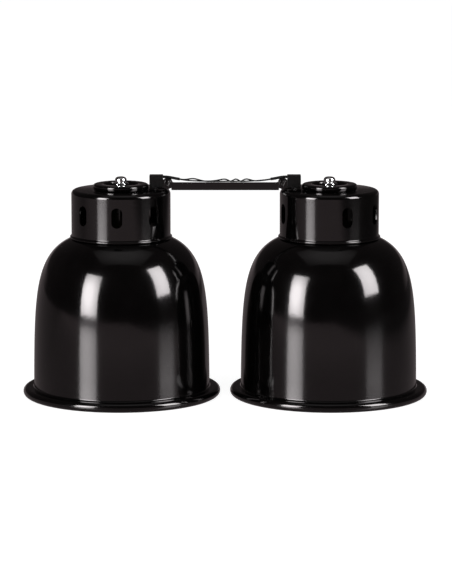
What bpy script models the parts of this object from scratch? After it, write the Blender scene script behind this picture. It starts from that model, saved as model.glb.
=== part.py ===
"""Twin deep-dome grow lamp: two bell shades on a hinged link bar.

The bar lies along X, the front faces -Y and Z is up. The origin is on the
ground, midway between the two lamps. Sizes are in millimetres here and are
scaled to metres as the meshes are made.
"""
import math

import bmesh
import bpy
from mathutils import Matrix, Vector

MM = 0.001
GAP = 0.3
ROUND_STEPS = 28
HOLE_SIDES = 12

# bell shade
RIM_R = 70.0
BEAD_R = 3.2
BEAD_FOOT = 0.8
FLANGE = 7.6
FILLET = 2.5
SHEET = 1.2
WALL_R = RIM_R - FLANGE
WALL_TAPER = 0.15
BELL_R = WALL_R + 0.14
BELL_POWER = 2.9
BELL_FALL = 21.65

# vented neck cap, with its top as the datum for what sits on it and hangs from it
NECK_R = 35.0
CAP_TOP = 147.0
CAP_EDGE = 3.0
CROWN_DROP = 29.9
BELL_CROWN = CAP_TOP - CROWN_DROP
BELL_START = NECK_R + 1.0
LEDGE_R = NECK_R - 8.0
FOOT_FLARE = 1.1
FOOT_RISE = 2.4
SLOT_WIDTH = 7.7
SLOT_HEIGHT = 14.2
SLOT_Z = CAP_TOP - 16.0
LEFT_SLOTS = (-48.0, -3.0, 42.0, 118.0, 168.0, 218.0)
RIGHT_SLOTS = (-70.0, 19.5, 64.5, 124.0, 179.5, 235.0)
UNDER_CAP = CAP_TOP - SHEET - GAP

# rivets
RIVET_R = 1.0
RIVET_HOLE = RIVET_R + 0.35
RIVET_HEAD = 1.2
SHADE_RIVET_R = 2.3
RIVET_RING = NECK_R - 4.5
RIVET_SPOTS = (30, 150, 270)

# stack on the axis, from the disc on the cap down to the lock nut
STUD_R = 2.9
STUD_HOLE = STUD_R + 0.4
DISC_INSET = 15.5
DISC_R = NECK_R - DISC_INSET
DISC_RISE = 4.0
DISC_TOP = CAP_TOP + DISC_RISE
DISC_ROUND = 1.5
DISH_R = 10.8
DISH_DEPTH = 2.1
NUT_FLATS = 10.0
NUT_HEIGHT = 3.5
NUT_CHAMFER = 0.7
NUT_DOME_R = 3.9
NUT_DOME_RISE = 3.3
SPACER_R = 5.0
SPACER_HEIGHT = 4.7
STRAP_TOP = UNDER_CAP - SPACER_HEIGHT - GAP
STRAP_SHEET = 1.5
STRAP_LOW = STRAP_TOP - STRAP_SHEET
STRAP_WIDTH = 12.0
STRAP_END = 4.0
LOCK_NUT = 2.7

# porcelain socket
SOCKET_R = 21.0
SOCKET_WAIST = 2.5
SOCKET_ROUND = 1.2
SOCKET_HEIGHT = 43.7
SOCKET_TOP = STRAP_LOW - GAP
SOCKET_LOW = SOCKET_TOP - SOCKET_HEIGHT
SOCKET_RECESS_R = 9.0
SOCKET_RECESS = 5.7
SOCKET_WEB = 5.0
SOCKET_FLOOR = SOCKET_TOP - SOCKET_RECESS - SOCKET_WEB
SCREW_R = 1.4
SCREW_HOLE = SCREW_R + 0.4
SCREW_Y = SOCKET_R - 6.0
SCREW_HEAD = 2.0
SCREW_HEAD_R = SCREW_R + 1.2
SCREW_LENGTH = 9.8
SCREW_HOLE_DEEP = SCREW_LENGTH - STRAP_SHEET + 0.4
CONTACT = 1.0
CONTACT_R = 6.0

# screw thread of the socket and the bulb
THREAD_R = 14.3
THREAD_DEPTH = 0.9
THREAD_PITCH = 3.6
THREAD_TURNS = 4
THREAD_LOW = SOCKET_FLOOR - 24.0
SHELL_SHEET = 0.6
THREAD_PLAY = 0.5
SHELL_COLLAR = 2.0

# bulb
BULB_R = 30.0
BULB_DROP = 47.0
BULB_MIDDLE = SOCKET_LOW - BULB_DROP
BULB_NECK_R = 11.0
BULB_WALL = 1.2
BULB_CAP_R = THREAD_R - SHELL_SHEET - THREAD_PLAY

# link bar, a flat strip on edge with a hinge eye at each end
LAMP_X = RIM_R + 3.5
PIN_REACH = NECK_R - 2.0
PIN_X = LAMP_X - PIN_REACH
PIN_RISE = 4.8
PIN_Z = CAP_TOP + PIN_RISE
BAR_HALF_WIDTH = 1.5
BAR_DEPTH = 5.4
BAR_DROP = 0.6
BAR_BOTTOM = CAP_TOP - BAR_DROP
BAR_TOP = BAR_BOTTOM + BAR_DEPTH
BAR_STEP = 2.6
BAR_SLOPE = 1.4
EYE_R = 2.6

# the two wires that sag on to the bar, and the sleeves at their ends
WIRE_R = 0.5
WIRE_STEPS = 54
TWIST_SIDE = 0.58
TWIST_HUMP = 1.5
TWIST_TURNS = 2
TWIST_UNEVEN = 1.4
TWIST_WAVES = 1.5
TWIST_RISE = 1.6
TWIST_Z = BAR_TOP + GAP + WIRE_R
SLEEVE_R = 1.0
SLEEVE_REACH = 8.1
SLEEVE_BOW = 0.3
SLEEVE_Z = PIN_Z + EYE_R + GAP + SLEEVE_R
TWIST_HALF = PIN_X - SLEEVE_REACH

# hinge and cable outlet, measured from the middle of the bar
PIN_R = 1.3
PIN_PLAY = 0.3
PIN_HEAD_R = 2.5
PIN_HEAD = 1.5
HINGE_NUT_FLATS = 5.2
HINGE_NUT = 2.2
EAR_R = 3.2
EAR_SHEET = 1.2
EAR_SQUARE = 1.6
EAR_SQUARE_END = 60
EAR_IN = BAR_HALF_WIDTH + GAP
EAR_OUT = EAR_IN + EAR_SHEET
BRACKET_SHEET = 1.0
BASE_LOW = CAP_TOP + GAP
BASE_TOP = BASE_LOW + BRACKET_SHEET
BASE_IN = PIN_X - 1.1
BASE_HALF_WIDTH = 10.8
BRACKET_RIVET_R = 2.0
BRACKET_RIVET_Y = BASE_HALF_WIDTH - 2.3
OUTLET_IN = PIN_X + EAR_R + GAP
OUTLET_OUT = LAMP_X - DISC_R - 0.4
OUTLET_WIDTH = 10.0
OUTLET_COVER = 0.3
OUTLET_ROUND = 0.4
OUTLET_LOW = BASE_TOP + GAP
OUTLET_TOP = SLEEVE_Z + SLEEVE_R + OUTLET_COVER
OUTLET_HEIGHT = OUTLET_TOP - OUTLET_LOW
WIRE_HOLE_X = (OUTLET_IN + OUTLET_OUT) / 2
WIRE_HOLE = 2.8

# mains gland
GLAND_ANGLE = 195.5
GLAND_Z = SLOT_Z
GLAND_BORE = 4.2
GLAND_R = 5.2
GLAND_HOLE = GLAND_R + 0.4
GLAND_NUT_ACROSS = GLAND_R * 2.6
GLAND_GRIP_R = 6.8
GLAND_FLANGE_R = 8.2
GLAND_FLANGE = 3.2
GLAND_REACH = 9.0
GLAND_ROUND = 1.2
GLAND_STANDOFF = 0.5
GLAND_NUT = 3.0
GLAND_NUT_INSET = 1.4
GLAND_TAIL = 0.9

bpy.context.preferences.edit.use_global_undo = False
for old in list(bpy.data.objects):
    bpy.data.objects.remove(old)

scene = bpy.context.scene
PARTS = bpy.data.collections.new("twin_dome_grow_lamp")
CUTTERS = bpy.data.collections.new("cutters")
scene.collection.children.link(PARTS)
scene.collection.children.link(CUTTERS)


def material(name, colour, roughness, metallic):
    """A plain Principled surface."""
    made = bpy.data.materials.new(name)
    made.use_nodes = True
    shader = made.node_tree.nodes["Principled BSDF"]
    shader.inputs["Base Color"].default_value = (*colour, 1.0)
    shader.inputs["Roughness"].default_value = roughness
    shader.inputs["Metallic"].default_value = metallic
    return made


BLACK = material("black_paint", (0.008, 0.008, 0.008), 0.12, 0.0)
CHROME = material("chrome", (0.8, 0.8, 0.8), 0.08, 1.0)
STEEL = material("steel", (0.5, 0.5, 0.5), 0.3, 1.0)
BRASS = material("brass", (0.7, 0.5, 0.2), 0.25, 1.0)
CERAMIC = material("porcelain", (0.018, 0.014, 0.011), 0.2, 0.0)
GLASS = material("frosted_glass", (0.9, 0.9, 0.88), 0.4, 0.0)
MOULDED = material("moulded_black", (0.012, 0.012, 0.012), 0.35, 0.0)


def empty(name, at, parent=None):
    """An axis to hang pieces on, at a place given relative to its parent."""
    made = bpy.data.objects.new(name, None)
    made.location = [value * MM for value in at]
    made.parent = parent
    PARTS.objects.link(made)
    return made


def place(name, mesh, surface, parent, at=(0, 0, 0), turn=(0, 0, 0)):
    """A piece from a mesh, with its surface, parent, place and turn."""
    made = bpy.data.objects.new(name, mesh)
    made.location = [value * MM for value in at]
    made.rotation_euler = [math.radians(value) for value in turn]
    made.parent = parent
    if mesh.materials:
        mesh.materials[0] = surface
    else:
        mesh.materials.append(surface)
    PARTS.objects.link(made)
    return made


def profile_mesh(name, points, closed):
    """A profile of (radius, height) points as a chain of edges."""
    mesh = bpy.data.meshes.new(name)
    edges = [(i, i + 1) for i in range(len(points) - 1)]
    if closed:
        edges.append((len(points) - 1, 0))
    mesh.from_pydata([(r * MM, 0.0, z * MM) for r, z in points], edges, [])
    return mesh


def turned(name, points, steps, surface, parent, at=(0, 0, 0), turn=(0, 0, 0)):
    """A turned piece, its profile running down the outer side."""
    on_axis = points[0][0] == 0.0
    made = place(name, profile_mesh(name, points, not on_axis), surface, parent, at, turn)
    screw = made.modifiers.new("turn", "SCREW")
    screw.axis = "Z"
    screw.steps = steps
    screw.render_steps = steps
    screw.use_merge_vertices = True
    screw.merge_threshold = 0.000001
    screw.use_smooth_shade = True
    return made


def hide(made):
    """Mark a helper so that only the piece it shapes is kept."""
    made.hide_render = True
    made.display_type = "WIRE"


def cutter(name, holes, parent):
    """Round or long holes: each is (matrix, radius, depth, stretch, sides)."""
    shape = bmesh.new()
    for matrix, radius, depth, stretch, sides in holes:
        fresh = bmesh.ops.create_cone(
            shape, cap_ends=True, segments=sides, radius1=radius * MM,
            radius2=radius * MM, depth=depth * MM)["verts"]
        for vert in fresh:
            vert.co.y += math.copysign(stretch * MM, vert.co.y) if stretch else 0.0
        bmesh.ops.transform(shape, matrix=matrix, verts=fresh)
    mesh = bpy.data.meshes.new(name)
    shape.to_mesh(mesh)
    shape.free()
    made = bpy.data.objects.new(name, mesh)
    made.parent = parent
    hide(made)
    CUTTERS.objects.link(made)
    return made


def combine(made, other, operation):
    """Cut a piece with a helper, or join the helper to it."""
    step = made.modifiers.new(operation.lower(), "BOOLEAN")
    step.operation = operation
    step.solver = "EXACT"
    step.object = other


def upright(x, y, z):
    """A hole along Z."""
    return Matrix.Translation(Vector((x, y, z)) * MM)


def along_y(x, y, z):
    """A hole along Y."""
    return Matrix.Translation(Vector((x, y, z)) * MM) @ Matrix.Rotation(math.radians(90), 4, "X")


def radial(angle, radius, z):
    """A hole along a radius; angle 0 faces the front and grows to the right."""
    aim = Matrix.Rotation(math.radians(angle), 4, "Z")
    out = Matrix.Translation(Vector((0, -radius, z)) * MM)
    return aim @ out @ Matrix.Rotation(math.radians(90), 4, "X")


def prism_mesh(name, outline, depth):
    """A flat outline in x and z with a thickness along y."""
    curve = bpy.data.curves.new(name, "CURVE")
    curve.dimensions = "2D"
    curve.fill_mode = "BOTH"
    curve.extrude = depth * MM / 2
    spline = curve.splines.new("POLY")
    spline.points.add(len(outline) - 1)
    for point, (x, z) in zip(spline.points, outline):
        point.co = (x * MM, z * MM, 0.0, 1.0)
    spline.use_cyclic_u = True
    guide = bpy.data.objects.new(name, curve)
    CUTTERS.objects.link(guide)
    graph = bpy.context.evaluated_depsgraph_get()
    mesh = bpy.data.meshes.new_from_object(guide.evaluated_get(graph))
    bpy.data.objects.remove(guide)
    shape = bmesh.new()
    shape.from_mesh(mesh)
    bmesh.ops.remove_doubles(shape, verts=shape.verts, dist=0.000001)
    bmesh.ops.dissolve_limit(shape, angle_limit=0.01, verts=shape.verts, edges=shape.edges)
    turn = Matrix.Rotation(math.radians(90), 3, "X")
    bmesh.ops.rotate(shape, cent=(0, 0, 0), matrix=turn, verts=shape.verts)
    bmesh.ops.recalc_face_normals(shape, faces=shape.faces)
    shape.to_mesh(mesh)
    shape.free()
    return mesh


def helper(name, mesh, parent, at=(0, 0, 0), turn=(0, 0, 0)):
    """A hidden shape for joining or cutting."""
    made = bpy.data.objects.new(name, mesh)
    made.location = [value * MM for value in at]
    made.rotation_euler = [math.radians(value) for value in turn]
    made.parent = parent
    hide(made)
    CUTTERS.objects.link(made)
    return made


def wire(name, points, radius, surface, parent):
    """A round wire along a chain of points."""
    curve = bpy.data.curves.new(name, "CURVE")
    curve.dimensions = "3D"
    curve.bevel_depth = radius * MM
    curve.bevel_resolution = 1
    curve.use_fill_caps = True
    spline = curve.splines.new("POLY")
    spline.points.add(len(points) - 1)
    for point, co in zip(spline.points, points):
        point.co = (*[value * MM for value in co], 1.0)
    made = bpy.data.objects.new(name, curve)
    made.parent = parent
    curve.materials.append(surface)
    PARTS.objects.link(made)
    return made


def arc(cx, cz, radius, start, end, count):
    """Points on an arc, angles in degrees."""
    step = (end - start) / (count - 1)
    angles = [math.radians(start + step * i) for i in range(count)]
    return [(cx + radius * math.cos(a), cz + radius * math.sin(a)) for a in angles]


def bell(radius):
    """Height of the outside of the bell at a radius."""
    return BELL_CROWN + BELL_FALL * math.log(1.0 - (radius / BELL_R) ** BELL_POWER)


def bell_inside(radius):
    """The point one sheet thickness inside the bell at a radius."""
    share = (radius / BELL_R) ** BELL_POWER
    slope = -BELL_FALL * BELL_POWER * share / radius / (1.0 - share)
    length = math.hypot(slope, 1.0)
    return radius + SHEET * slope / length, bell(radius) - SHEET / length


def shade_profile():
    """Ledge, bell, straight wall and rolled rim, then back up the inside."""
    span = WALL_R - WALL_TAPER - BELL_START
    shares = [math.sin(math.pi / 2 * i / 8) for i in range(9)]
    outer = [(BELL_START + span * s, bell(BELL_START + span * s)) for s in shares]
    bead_x = RIM_R - BEAD_R
    fillet = arc(WALL_R + FILLET, BEAD_R * 2 + FILLET, FILLET, 180, 270, 3)
    bead = arc(bead_x, BEAD_R, BEAD_R, 90, -60, 6)
    flat = [(bead_x + BEAD_FOOT, 0.0), (bead_x - BEAD_FOOT, 0.0)]
    curl = arc(bead_x, BEAD_R, BEAD_R, -120, -180, 3)
    inside_start = BELL_START + SHEET / 2
    inside_span = WALL_R - WALL_TAPER - inside_start
    inner = [(WALL_R - SHEET, BEAD_R * 2 + SHEET)]
    inner += [bell_inside(inside_start + inside_span * s) for s in reversed(shares[::2])]
    ledge = LEDGE_R, bell(BELL_START)
    under = ledge[1] - SHEET
    inner += [(BELL_START - SHEET / 2, under), (LEDGE_R, under)]
    return [ledge] + outer + fillet + bead + flat + curl + inner


def cap_profile():
    """Top plate, rounded edge, wall, flared foot and inward flange."""
    low = bell(BELL_START) + GAP
    inner = NECK_R - SHEET
    centre = NECK_R - CAP_EDGE
    flare = NECK_R + FOOT_FLARE
    outside = [(STUD_HOLE, CAP_TOP)]
    outside += arc(centre, CAP_TOP - CAP_EDGE, CAP_EDGE, 90, 0, 3)
    outside += [(NECK_R, low + FOOT_RISE), (flare, low + FOOT_RISE - FOOT_FLARE * 1.2)]
    outside += [(flare, low + FOOT_FLARE * 0.4), (flare - FOOT_FLARE * 0.4, low), (LEDGE_R, low)]
    inside = [(LEDGE_R, low + SHEET), (inner, low + SHEET)]
    inside += arc(centre, CAP_TOP - CAP_EDGE, CAP_EDGE - SHEET, 0, 90, 2)
    return outside + inside + [(STUD_HOLE, CAP_TOP - SHEET)]


def rivet_profile(head, seat_top, seat_low):
    """A set rivet with a head at each end, closed on the axis."""
    top = seat_top + RIVET_HEAD
    low = seat_low - RIVET_HEAD + GAP
    return [(0.0, top), (head * 0.6, top), (head, seat_top + GAP), (head, seat_top),
            (RIVET_R, seat_top), (RIVET_R, seat_low), (head, seat_low), (head, low), (0.0, low)]


def hexagon(flats, count=6):
    """Corner radius of a hexagon from its width across flats."""
    return flats / 2 / math.cos(math.pi / count)


def ring_hex(name, flats, bore, low, high, surface, parent, at=(0, 0, 0), turn=(0, 0, 0)):
    """A plain hexagon nut made as a six-sided turned ring with a round bore."""
    corner = hexagon(flats)
    made = turned(name, [(0.0, high), (corner, high), (corner, low), (0.0, low)],
                  6, surface, parent, at, turn)
    depth = (high - low) * 3
    hole = cutter(name + "_bore", [(upright(0, 0, (low + high) / 2), bore, depth, 0, HOLE_SIDES)], parent)
    hole.location = made.location
    hole.rotation_euler = made.rotation_euler
    combine(made, hole, "DIFFERENCE")
    return made


def thread(crest):
    """Ring-shaped thread crests and roots from the top down."""
    root = crest - THREAD_DEPTH
    points = []
    for i in reversed(range(THREAD_TURNS)):
        z = THREAD_LOW + THREAD_PITCH * i
        points += [(root, z + THREAD_PITCH), (crest, z + THREAD_PITCH / 2)]
    return points + [(root, THREAD_LOW)]


def inward(lamp):
    """The way from a lamp's axis to the middle of the bar."""
    return -1 if lamp.name.startswith("right") else 1


def block_mesh(size):
    """A plain block, from the cube primitive."""
    bpy.ops.mesh.primitive_cube_add(size=1)
    cube = bpy.context.object
    mesh = cube.data
    bpy.data.objects.remove(cube)
    mesh.transform(Matrix.Diagonal((*[value * MM for value in size], 1.0)))
    return mesh


def build_shade(lamp, name, slots, gland):
    """Shade, vented cap and the rivets that hold them together."""
    ledge = bell(BELL_START)
    through = SHEET * 7
    shade = turned(name + "_shade", shade_profile(), ROUND_STEPS, BLACK, lamp)
    cap = turned(name + "_vent_cap", cap_profile(), ROUND_STEPS, BLACK, lamp)
    spots = [math.radians(angle) for angle in RIVET_SPOTS]
    rivet_at = [(RIVET_RING * math.cos(a), RIVET_RING * math.sin(a)) for a in spots]
    holes = [(upright(x, y, ledge), RIVET_HOLE, through, 0, HOLE_SIDES) for x, y in rivet_at]
    combine(shade, cutter(name + "_shade_holes", holes, lamp), "DIFFERENCE")
    stretch = (SLOT_HEIGHT - SLOT_WIDTH) / 2
    vents = [(radial(angle, NECK_R, SLOT_Z), SLOT_WIDTH / 2, through, stretch, HOLE_SIDES)
             for angle in slots]
    reach = inward(lamp) * (LAMP_X - WIRE_HOLE_X)
    vents += holes
    vents.append((upright(reach, 0, CAP_TOP), WIRE_HOLE, through, 0, HOLE_SIDES))
    for y in (-BRACKET_RIVET_Y, BRACKET_RIVET_Y):
        vents.append((upright(reach, y, CAP_TOP), RIVET_HOLE, through, 0, HOLE_SIDES))
    if gland:
        vents.append((radial(GLAND_ANGLE, NECK_R, GLAND_Z), GLAND_HOLE, through, 0, 16))
    combine(cap, cutter(name + "_cap_holes", vents, lamp), "DIFFERENCE")
    rivet = rivet_profile(SHADE_RIVET_R, ledge + SHEET + GAP * 2, ledge - SHEET - GAP)
    for letter, (x, y) in zip("abc", rivet_at):
        turned(name + "_shade_rivet_" + letter, rivet, 8, STEEL, lamp, (x, y, 0))


def build_stack(lamp, name):
    """Dished disc, acorn nut, stud, spacer, strap and lock nut on the axis."""
    base = CAP_TOP + GAP
    floor = DISC_TOP - DISH_DEPTH
    edge = arc(DISC_R - DISC_ROUND, DISC_TOP - DISC_ROUND, DISC_ROUND, 90, 0, 3)
    slope = DISH_DEPTH / 3
    dish = [(STUD_HOLE, floor), (DISH_R, floor), (DISH_R + slope, floor + slope)]
    disc = [(DISH_R + DISH_DEPTH, DISC_TOP)] + edge + [(DISC_R, base), (STUD_HOLE, base)] + dish
    turned(name + "_top_disc", disc, 24, BLACK, lamp)
    seat = floor + GAP
    hex_top = seat + NUT_HEIGHT
    dome = arc(0, hex_top + NUT_DOME_RISE - NUT_DOME_R, NUT_DOME_R, 90, 0, 5)
    dome[0] = (0.0, dome[0][1])
    sunk = seat + NUT_HEIGHT / 2
    nut = turned(name + "_cap_nut", dome + [(NUT_DOME_R, sunk), (0.0, sunk)], 16, CHROME, lamp)
    corner = hexagon(NUT_FLATS)
    hexed = [(0.0, hex_top), (corner - NUT_CHAMFER, hex_top), (corner, hex_top - NUT_CHAMFER),
             (corner, seat), (0.0, seat)]
    flange = turned(name + "_nut_hexagon", hexed, 6, CHROME, lamp)
    hide(flange)
    combine(nut, flange, "UNION")
    stud_top = hex_top + GAP
    depth = NUT_HEIGHT * 2
    bored = [(upright(0, 0, stud_top + GAP - depth / 2), STUD_HOLE, depth, 0, HOLE_SIDES)]
    combine(nut, cutter(name + "_nut_bore", bored, lamp), "DIFFERENCE")
    nut_low = SOCKET_TOP - LOCK_NUT
    stud_low = nut_low - STUD_HOLE + STUD_R
    turned(name + "_stud", [(0.0, stud_top), (STUD_R * 0.8, stud_top), (STUD_R, stud_top - STUD_R * 0.2),
                            (STUD_R, stud_low), (0.0, stud_low)], 12, STEEL, lamp)
    spacer_low = STRAP_TOP + GAP
    turned(name + "_spacer", [(SPACER_R, UNDER_CAP), (SPACER_R, spacer_low), (STUD_HOLE, spacer_low),
                              (STUD_HOLE, UNDER_CAP)], 14, STEEL, lamp)
    strap_length = (SCREW_Y + STRAP_END) * 2
    middle = (STRAP_TOP + STRAP_LOW) / 2
    strap = place(name + "_socket_strap", block_mesh((STRAP_WIDTH, strap_length, STRAP_SHEET)), STEEL,
                  lamp, (0, 0, middle))
    through = STRAP_SHEET * 5
    holes = [(upright(0, 0, middle), STUD_HOLE, through, 0, HOLE_SIDES)]
    holes += [(upright(0, y, middle), SCREW_HOLE, through, 0, HOLE_SIDES) for y in (-SCREW_Y, SCREW_Y)]
    combine(strap, cutter(name + "_strap_holes", holes, lamp), "DIFFERENCE")
    ring_hex(name + "_lock_nut", NUT_FLATS, STUD_HOLE, nut_low, SOCKET_TOP, STEEL, lamp)
    head = STRAP_TOP + GAP
    tip = head - SCREW_LENGTH
    screw = [(0.0, head + SCREW_HEAD), (SCREW_R, head + SCREW_HEAD), (SCREW_HEAD_R, head + SCREW_HEAD / 2),
             (SCREW_HEAD_R, head), (SCREW_R, head), (SCREW_R, tip), (0.0, tip)]
    for letter, y in zip("ab", (-SCREW_Y, SCREW_Y)):
        turned(name + "_socket_screw_" + letter, screw, 12, STEEL, lamp, (0, y, 0))


def build_socket(lamp, name):
    """Porcelain socket with its threaded shell, contact and two wires."""
    bore = THREAD_R + THREAD_PLAY
    web_top = SOCKET_FLOOR + SOCKET_WEB
    waist_r = SOCKET_R - SOCKET_WAIST
    shoulder = SOCKET_TOP - SOCKET_HEIGHT * 0.48
    body = [(0.0, web_top), (SOCKET_RECESS_R, web_top), (SOCKET_RECESS_R, SOCKET_TOP),
            (SOCKET_R - SOCKET_ROUND, SOCKET_TOP), (SOCKET_R, SOCKET_TOP - SOCKET_ROUND), (SOCKET_R, shoulder),
            (waist_r, shoulder - SOCKET_WAIST * 2.4), (waist_r, SOCKET_LOW + SOCKET_ROUND),
            (waist_r - SOCKET_ROUND, SOCKET_LOW), (bore, SOCKET_LOW), (bore, SOCKET_FLOOR), (0.0, SOCKET_FLOOR)]
    socket = turned(name + "_socket_body", body, 20, CERAMIC, lamp)
    holes = [(upright(0, y, SOCKET_TOP), SCREW_HOLE, SCREW_HOLE_DEEP * 2, 0, HOLE_SIDES)
             for y in (-SCREW_Y, SCREW_Y)]
    combine(socket, cutter(name + "_socket_holes", holes, lamp), "DIFFERENCE")
    collar = THREAD_LOW + THREAD_PITCH * THREAD_TURNS + SHELL_COLLAR
    outer = [(THREAD_R - THREAD_DEPTH, collar)] + thread(THREAD_R)
    inner = [(r - SHELL_SHEET, z) for r, z in reversed(outer)]
    turned(name + "_screw_shell", outer + inner, 16, BRASS, lamp)
    high = SOCKET_FLOOR - GAP
    turned(name + "_centre_contact", [(0.0, high), (CONTACT_R, high), (CONTACT_R, high - CONTACT),
                                      (0.0, high - CONTACT)], 14, BRASS, lamp)
    start = inward(lamp) * (LAMP_X - WIRE_HOLE_X)
    for label, sign in (("live", -1), ("neutral", 1)):
        path = [(start, sign * 1.1, CAP_TOP + 0.9), (start, sign * 1.3, CAP_TOP - 2.0),
                (start * 0.97, sign * 2.6, CAP_TOP - 4.4), (start * 0.86, sign * 5.0, CAP_TOP - 6.2),
                (start * 0.72, sign * 7.0, SOCKET_TOP + 1.2)]
        wire(name + "_" + label + "_wire", path, WIRE_R + 0.1, MOULDED, lamp)


def build_bulb(axis, name):
    """Bulb that screws into the socket: threaded cup and glass envelope."""
    high = THREAD_LOW + THREAD_PITCH * THREAD_TURNS
    low = THREAD_LOW - 1.0
    tip = SOCKET_FLOOR - GAP - CONTACT - 0.4
    root = BULB_CAP_R - THREAD_DEPTH
    skirt = SOCKET_LOW + 3.0
    bore = BULB_NECK_R + 0.4
    rise = tip - high
    cup = [(0.0, tip), (BULB_CAP_R * 0.3, tip), (BULB_CAP_R * 0.38, tip - rise * 0.15),
           (BULB_CAP_R * 0.68, high + rise * 0.5), (root, high + rise * 0.25)]
    cup += thread(BULB_CAP_R)
    cup += [(root + 0.3, low), (root + 0.3, skirt), (bore, skirt), (bore, high), (0.0, high + rise * 0.2)]
    turned(name + "_bulb_cap", cup, 16, BRASS, axis)
    round_out = arc(0, BULB_MIDDLE, BULB_R, 24, -90, 7)
    round_out[-1] = (0.0, BULB_MIDDLE - BULB_R)
    throat = [(BULB_NECK_R, SOCKET_LOW + 15.0), (BULB_NECK_R, skirt),
              (BULB_NECK_R + 1.4, SOCKET_LOW - 3.0), (BULB_R * 0.6, BULB_MIDDLE + BULB_R)]
    hollow = arc(0, BULB_MIDDLE, BULB_R - BULB_WALL, -90, 24, 5)
    hollow[0] = (0.0, BULB_MIDDLE - BULB_R + BULB_WALL)
    inside = [(r - BULB_WALL, z) for r, z in reversed(throat)]
    globe = turned(name + "_bulb_globe", throat + round_out + hollow + inside, 20, GLASS, axis)
    mesh_edges_off_axis(globe.data)


def mesh_edges_off_axis(mesh):
    """Drop profile edges that lie on the axis, which would sweep no surface."""
    shape = bmesh.new()
    shape.from_mesh(mesh)
    axial = [edge for edge in shape.edges if all(abs(v.co.x) < 1e-9 for v in edge.verts)]
    bmesh.ops.delete(shape, geom=axial, context="EDGES_FACES")
    shape.to_mesh(mesh)
    shape.free()


def build_bracket(lamp, name, side):
    """Hinge bracket, its rivets, the hinge screw and nut, and the cable outlet."""
    def local(x):
        return side * (x - LAMP_X)

    half = [(BASE_IN, EAR_OUT), (OUTLET_IN, EAR_OUT), (OUTLET_IN, BASE_HALF_WIDTH),
            (OUTLET_OUT, BASE_HALF_WIDTH)]
    plate = [(x, -y) for x, y in half] + list(reversed(half))
    mesh = prism_mesh(name + "_hinge_bracket", [(local(x), y) for x, y in plate], BRACKET_SHEET)
    bracket = place(name + "_hinge_bracket", mesh, BLACK, lamp, (0, 0, (BASE_LOW + BASE_TOP) / 2),
                    (-90, 0, 0))
    ear_low = BASE_TOP - BRACKET_SHEET * 0.6
    ear = [(BASE_IN, ear_low), (PIN_X + EAR_R, ear_low), (PIN_X + EAR_R, PIN_Z + EAR_SQUARE)]
    ear += arc(PIN_X, PIN_Z, EAR_R, EAR_SQUARE_END, 180, 8)
    ear.append((PIN_X - EAR_R, BASE_TOP))
    for end, y in (("front", -1), ("rear", 1)):
        ear_mesh = prism_mesh(name + "_ear_" + end, [(local(x), z) for x, z in ear], EAR_OUT - EAR_IN)
        cheek = helper(name + "_ear_" + end, ear_mesh, lamp, (0, y * (EAR_IN + EAR_OUT) / 2, 0))
        combine(bracket, cheek, "UNION")
    through = BRACKET_SHEET * 6
    holes = [(along_y(local(PIN_X), 0, PIN_Z), PIN_R + PIN_PLAY, EAR_OUT * 4, 0, HOLE_SIDES)]
    holes.append((upright(local(WIRE_HOLE_X), 0, BASE_LOW), WIRE_HOLE, through, 0, HOLE_SIDES))
    for y in (-BRACKET_RIVET_Y, BRACKET_RIVET_Y):
        holes.append((upright(local(WIRE_HOLE_X), y, BASE_LOW), RIVET_HOLE, through, 0, HOLE_SIDES))
    combine(bracket, cutter(name + "_bracket_holes", holes, lamp), "DIFFERENCE")
    rivet = rivet_profile(BRACKET_RIVET_R, BASE_TOP + GAP, UNDER_CAP)
    for letter, y in zip("ab", (-BRACKET_RIVET_Y, BRACKET_RIVET_Y)):
        turned(name + "_bracket_rivet_" + letter, rivet, 8, BLACK, lamp, (local(WIRE_HOLE_X), y, 0))
    front = EAR_OUT + GAP
    tail = -front - HINGE_NUT - 0.4
    pin = [(0.0, front + PIN_HEAD), (PIN_HEAD_R * 0.72, front + PIN_HEAD * 0.87),
           (PIN_HEAD_R, front + PIN_HEAD * 0.47), (PIN_HEAD_R, front), (PIN_R, front), (PIN_R, tail),
           (0.0, tail)]
    at = (local(PIN_X), 0, PIN_Z)
    turned(name + "_hinge_screw", pin, 12, BLACK, lamp, at, (90, 0, 0))
    ring_hex(name + "_hinge_nut", HINGE_NUT_FLATS, PIN_R + PIN_PLAY, -front - HINGE_NUT, -front, BLACK,
             lamp, at, (90, 0, 0))
    outer_face = OUTLET_OUT - GAP
    size = (outer_face - OUTLET_IN, OUTLET_WIDTH, OUTLET_HEIGHT)
    outlet = place(name + "_cable_outlet", block_mesh(size), MOULDED, lamp,
                   (local((OUTLET_IN + outer_face) / 2), 0, (OUTLET_LOW + OUTLET_TOP) / 2))
    bevel = outlet.modifiers.new("edges", "BEVEL")
    bevel.width = OUTLET_ROUND * MM
    bevel.segments = 2


def build_lead(lamp, name, side):
    """Sleeve that takes the two link wires from the outlet down to the bar."""
    start = OUTLET_IN - GAP, SLEEVE_Z
    end = TWIST_HALF + GAP, TWIST_Z + TWIST_RISE
    count = 7
    path = []
    for i in range(count + 1):
        share = i / count
        eased = share * share * (3.0 - 2.0 * share)
        x = start[0] + (end[0] - start[0]) * share
        z = start[1] + (end[1] - start[1]) * eased + SLEEVE_BOW * math.sin(math.pi * share)
        path.append((side * (x - LAMP_X), 0.0, z))
    wire(name + "_lead_sleeve", path, SLEEVE_R, MOULDED, lamp)


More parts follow.
